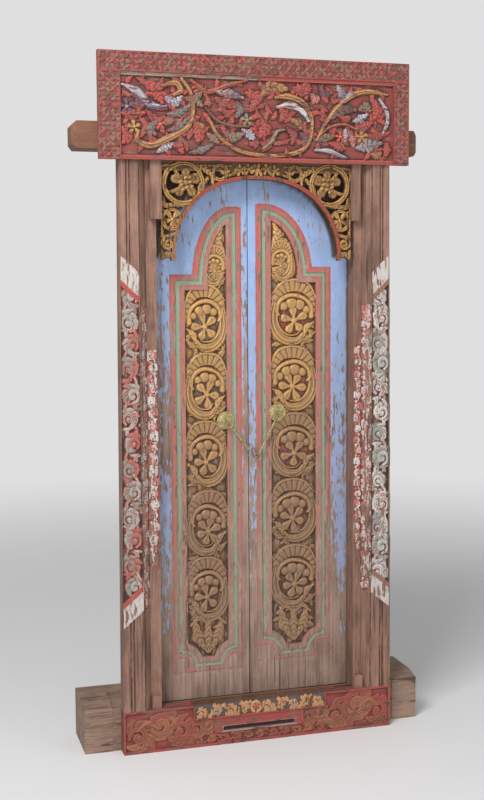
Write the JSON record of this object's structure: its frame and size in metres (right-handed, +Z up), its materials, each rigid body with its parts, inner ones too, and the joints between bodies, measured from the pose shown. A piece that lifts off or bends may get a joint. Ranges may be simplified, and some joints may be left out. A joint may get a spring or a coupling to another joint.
{
  "type": "carved painted double door",
  "caption": "Two-leaf carved and painted wooden door in its own frame, with a pierced gilded arch, a scroll header board, pivoted leaves and linked twisted pulls",
  "frame": {"origin": "On the floor, under the middle of the whole piece's bounding box.", "axes": "+Z up, +X to the right of someone facing the carved front, the carved front faces -Y, the leaves open towards +Y."},
  "size_m": [1.168, 0.264, 2.231],
  "materials": {
    "weathered_wood": "grey-brown weathered timber with splits and worm marks",
    "bare_wood": "bare dark brown timber",
    "fresh_wood": "unweathered orange-brown timber",
    "worn_blue_wood": "carved timber with worn red, white and dark green paint",
    "red_gilt_wood": "carved timber with worn dark red paint and dull gilding",
    "gilt_carving": "carved timber, gilded, with red edges",
    "red_carving": "carved timber with dusty red ground and many-coloured scrolls",
    "leaf_paint": "timber with worn pale blue paint, red bands, green lines and gilt carving",
    "old_brass": "dull olive brass with green patina",
    "copper": "worn copper-coloured metal"
  },
  "bodies": {
    "frame": {"sill_beam": "weathered_wood", "apron_board": "red_gilt_wood", "threshold_carving": "gilt_carving", "foot_block_left": "bare_wood", "foot_block_right": "bare_wood", "jamb_left": "worn_blue_wood", "jamb_right": "worn_blue_wood", "post_left": "bare_wood", "post_right": "bare_wood", "head_beam": "weathered_wood", "header_panel": "red_carving", "header_border_top": "red_carving", "header_border_left": "red_carving", "header_border_right": "red_carving", "header_rail": "bare_wood", "header_cleat_left": "bare_wood", "header_cleat_right": "bare_wood", "arch_fretwork": "gilt_carving", "fret_cleat_left": "fresh_wood", "fret_cleat_right": "fresh_wood"},
    "leaf_left_body": {"leaf_left": "leaf_paint", "rosette_left": "old_brass", "staple_left": "old_brass"},
    "leaf_right_body": {"leaf_right": "leaf_paint", "rosette_right": "old_brass", "staple_right": "old_brass"},
    "pull_left_body": {"pull_left": "old_brass"},
    "pull_right_body": {"pull_right": "old_brass"},
    "link_body": {"link_ring": "copper"}
  },
  "joints": [
    {"name": "leaf_left_hinge", "type": "hinge", "parent": "frame", "child": "leaf_left_body", "pos_m": [-0.329, 0.001, 1], "axis": [0, 0, 1], "range_deg": [0, 90]},
    {"name": "leaf_right_hinge", "type": "hinge", "parent": "frame", "child": "leaf_right_body", "pos_m": [0.337, 0.001, 1], "axis": [0, 0, -1], "range_deg": [0, 90]},
    {"name": "pull_left_swing", "type": "hinge", "parent": "leaf_left_body", "child": "pull_left_body", "pos_m": [-0.07798, -0.034, 1.05541], "axis": [0, 1, 0], "range_deg": [0, 90]},
    {"name": "pull_right_swing", "type": "hinge", "parent": "leaf_right_body", "child": "pull_right_body", "pos_m": [0.08612, -0.034, 1.07416], "axis": [0, -1, 0], "range_deg": [0, 90]},
    {"name": "link_ring_swing", "type": "hinge", "parent": "pull_right_body", "child": "link_body", "pos_m": [0.017, -0.034, 0.942], "axis": [0, 1, 0], "range_deg": [0, 12]}
  ]
}
